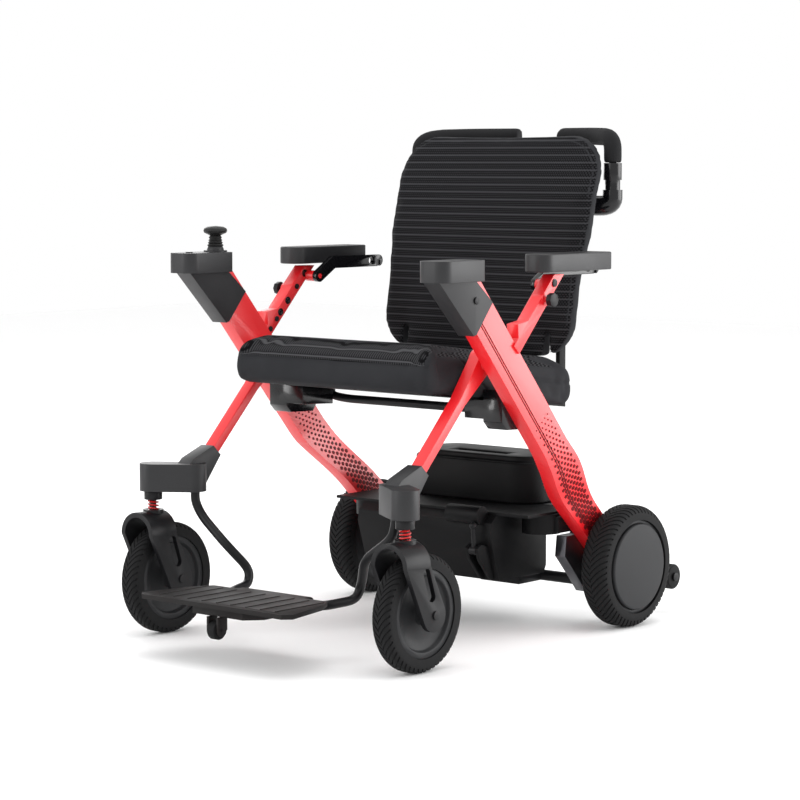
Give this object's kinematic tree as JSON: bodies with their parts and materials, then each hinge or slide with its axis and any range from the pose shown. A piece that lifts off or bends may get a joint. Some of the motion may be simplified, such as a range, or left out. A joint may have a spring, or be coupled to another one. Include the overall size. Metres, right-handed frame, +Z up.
{
  "type": "power wheelchair",
  "caption": "Folding powered wheelchair with crossed red side frames, woven seat and back, joystick pod, sprung casters, hub-motor rear wheels and a flip-up footplate.",
  "frame": {"origin": "on the floor, under the middle of the chair's bounding box", "axes": "+Z up, +Y to the rear, +X to the sitter's left"},
  "size_m": [0.6, 0.864, 0.8088],
  "materials": {
    "red_paint": "satin",
    "spring_red": "gloss",
    "black_metal": "satin",
    "grey_plastic": "satin",
    "woven_cloth": "matte",
    "foam": "matte",
    "soft_rubber": "matte",
    "tyre_rubber": "matte",
    "steel": "satin"
  },
  "bodies": {
    "chassis": {"main_arm_left": "red_paint", "main_arm_right": "red_paint", "rear_post_left": "red_paint", "rear_post_right": "red_paint", "arm_head_left": "grey_plastic", "arm_head_right": "grey_plastic", "seat_pan": "black_metal", "seat_cushion": "woven_cloth", "under_seat_bar": "black_metal", "pivot_brackets": "black_metal", "drive_case": "grey_plastic", "axle_beam": "black_metal", "drive_axles": "black_metal", "anti_tip_arms": "black_metal", "frame_bolts": "steel"},
    "front_frame": {"front_arm_left": "red_paint", "front_arm_right": "red_paint", "caster_housing_left": "grey_plastic", "caster_housing_right": "grey_plastic", "footrest_tube": "black_metal"},
    "footplate_flap": {"footplate": "grey_plastic", "footplate_tray": "grey_plastic"},
    "foot_wheel": {"foot_roller": "tyre_rubber"},
    "battery": {"battery_pack": "grey_plastic"},
    "clutch": {"clutch_lever": "black_metal"},
    "backrest": {"backrest_pad": "woven_cloth", "backrest_frame": "black_metal", "handle_elbow_left": "black_metal", "handle_elbow_right": "black_metal"},
    "gimbal": {"joystick_gimbal": "steel"},
    "stick": {"joystick_stick": "grey_plastic", "joystick_boot": "soft_rubber"},
    "power": {"power_button": "grey_plastic"},
    "caster_swivel_left": {"caster_collar_left": "black_metal", "caster_spring_left": "spring_red"},
    "caster_fork_left": {"caster_fork_left": "black_metal"},
    "caster_wheel_left": {"caster_rim_left": "black_metal", "caster_tyre_left": "tyre_rubber"},
    "drive_wheel_left": {"drive_tyre_left": "tyre_rubber", "drive_hub_left": "black_metal", "hub_cover_left": "grey_plastic"},
    "anti_tip_wheel_left": {"anti_tip_roller_left": "tyre_rubber"},
    "push_handle_left": {"handle_grip_left": "foam"},
    "armrest_left": {"rear_pad_left": "grey_plastic", "armrest_bar_left": "black_metal"},
    "knob_left": {"release_knob_left": "grey_plastic"},
    "caster_swivel_right": {"caster_collar_right": "black_metal", "caster_spring_right": "spring_red"},
    "caster_fork_right": {"caster_fork_right": "black_metal"},
    "caster_wheel_right": {"caster_rim_right": "black_metal", "caster_tyre_right": "tyre_rubber"},
    "drive_wheel_right": {"drive_tyre_right": "tyre_rubber", "drive_hub_right": "black_metal", "hub_cover_right": "grey_plastic"},
    "anti_tip_wheel_right": {"anti_tip_roller_right": "tyre_rubber"},
    "push_handle_right": {"handle_grip_right": "foam"},
    "armrest_right": {"rear_pad_right": "grey_plastic", "armrest_bar_right": "black_metal"},
    "knob_right": {"release_knob_right": "grey_plastic"}
  },
  "joints": [
    {"name": "frame_fold", "type": "hinge", "parent": "chassis", "child": "front_frame", "pos_m": [0, -0.055, 0.447], "axis": [1, 0, 0], "range_deg": [0, 45]},
    {"name": "footplate_flip", "type": "hinge", "parent": "front_frame", "child": "footplate_flap", "pos_m": [0, -0.288, 0.084], "axis": [-1, 0, 0], "range_deg": [0, 85]},
    {"name": "foot_wheel_spin", "type": "hinge", "parent": "footplate_flap", "child": "foot_wheel", "pos_m": [0, -0.418, 0.054], "axis": [1, 0, 0], "continuous": true},
    {"name": "backrest_fold", "type": "hinge", "parent": "chassis", "child": "backrest", "pos_m": [0, 0.232, 0.462], "axis": [1, 0, 0], "range_deg": [0, 75]},
    {"name": "battery_slide", "type": "slide", "parent": "chassis", "child": "battery", "axis": [0, 1, 0], "range_m": [0, 0.15]},
    {"name": "clutch_swing", "type": "hinge", "parent": "chassis", "child": "clutch", "pos_m": [0.118, 0.052, 0.132], "axis": [1, 0, 0], "range_deg": [0, 40]},
    {"name": "stick_forward", "type": "hinge", "parent": "chassis", "child": "gimbal", "pos_m": [-0.26, -0.148, 0.6075], "axis": [1, 0, 0], "range_deg": [-16, 16], "stiffness_Nm_per_rad": 0.4},
    {"name": "stick_sideways", "type": "hinge", "parent": "gimbal", "child": "stick", "pos_m": [-0.26, -0.148, 0.6075], "axis": [0, 1, 0], "range_deg": [-16, 16], "stiffness_Nm_per_rad": 0.4},
    {"name": "power_press", "type": "slide", "parent": "chassis", "child": "power", "axis": [0, 0, -1], "range_m": [0, 0.0012], "stiffness_N_per_m": 600},
    {"name": "caster_swivel_left", "type": "hinge", "parent": "front_frame", "child": "caster_swivel_left", "pos_m": [0.262, -0.291, 0.23], "axis": [0, 0, 1], "continuous": true},
    {"name": "caster_suspension_left", "type": "slide", "parent": "caster_swivel_left", "child": "caster_fork_left", "axis": [0, 0, 1], "range_m": [0, 0.005], "stiffness_N_per_m": 15000, "springref_m": -0.009, "deforming": ["caster_spring_left"]},
    {"name": "caster_roll_left", "type": "hinge", "parent": "caster_fork_left", "child": "caster_wheel_left", "pos_m": [0.262, -0.263, 0.089], "axis": [1, 0, 0], "continuous": true},
    {"name": "drive_roll_left", "type": "hinge", "parent": "chassis", "child": "drive_wheel_left", "pos_m": [0.271, 0.256, 0.099], "axis": [1, 0, 0], "continuous": true},
    {"name": "anti_tip_roll_left", "type": "hinge", "parent": "chassis", "child": "anti_tip_wheel_left", "pos_m": [0.25, 0.411, 0.06], "axis": [1, 0, 0], "continuous": true},
    {"name": "handle_turn_left", "type": "hinge", "parent": "backrest", "child": "push_handle_left", "pos_m": [0.204, 0.304, 0.75], "axis": [0, 0, -1], "range_deg": [0, 60]},
    {"name": "armrest_lift_left", "type": "hinge", "parent": "chassis", "child": "armrest_left", "pos_m": [0.229, 0.066, 0.561], "axis": [1, 0, 0], "range_deg": [0, 45]},
    {"name": "knob_pull_left", "type": "slide", "parent": "chassis", "child": "knob_left", "axis": [1, 0, 0], "range_m": [0, 0.005], "stiffness_N_per_m": 800},
    {"name": "caster_swivel_right", "type": "hinge", "parent": "front_frame", "child": "caster_swivel_right", "pos_m": [-0.262, -0.291, 0.23], "axis": [0, 0, 1], "continuous": true},
    {"name": "caster_suspension_right", "type": "slide", "parent": "caster_swivel_right", "child": "caster_fork_right", "axis": [0, 0, 1], "range_m": [0, 0.005], "stiffness_N_per_m": 15000, "springref_m": -0.009, "deforming": ["caster_spring_right"]},
    {"name": "caster_roll_right", "type": "hinge", "parent": "caster_fork_right", "child": "caster_wheel_right", "pos_m": [-0.262, -0.263, 0.089], "axis": [1, 0, 0], "continuous": true},
    {"name": "drive_roll_right", "type": "hinge", "parent": "chassis", "child": "drive_wheel_right", "pos_m": [-0.271, 0.256, 0.099], "axis": [1, 0, 0], "continuous": true},
    {"name": "anti_tip_roll_right", "type": "hinge", "parent": "chassis", "child": "anti_tip_wheel_right", "pos_m": [-0.25, 0.411, 0.06], "axis": [1, 0, 0], "continuous": true},
    {"name": "handle_turn_right", "type": "hinge", "parent": "backrest", "child": "push_handle_right", "pos_m": [-0.204, 0.304, 0.75], "axis": [0, 0, 1], "range_deg": [0, 60]},
    {"name": "armrest_lift_right", "type": "hinge", "parent": "chassis", "child": "armrest_right", "pos_m": [-0.229, 0.066, 0.561], "axis": [1, 0, 0], "range_deg": [0, 45]},
    {"name": "knob_pull_right", "type": "slide", "parent": "chassis", "child": "knob_right", "axis": [-1, 0, 0], "range_m": [0, 0.005], "stiffness_N_per_m": 800}
  ]
}
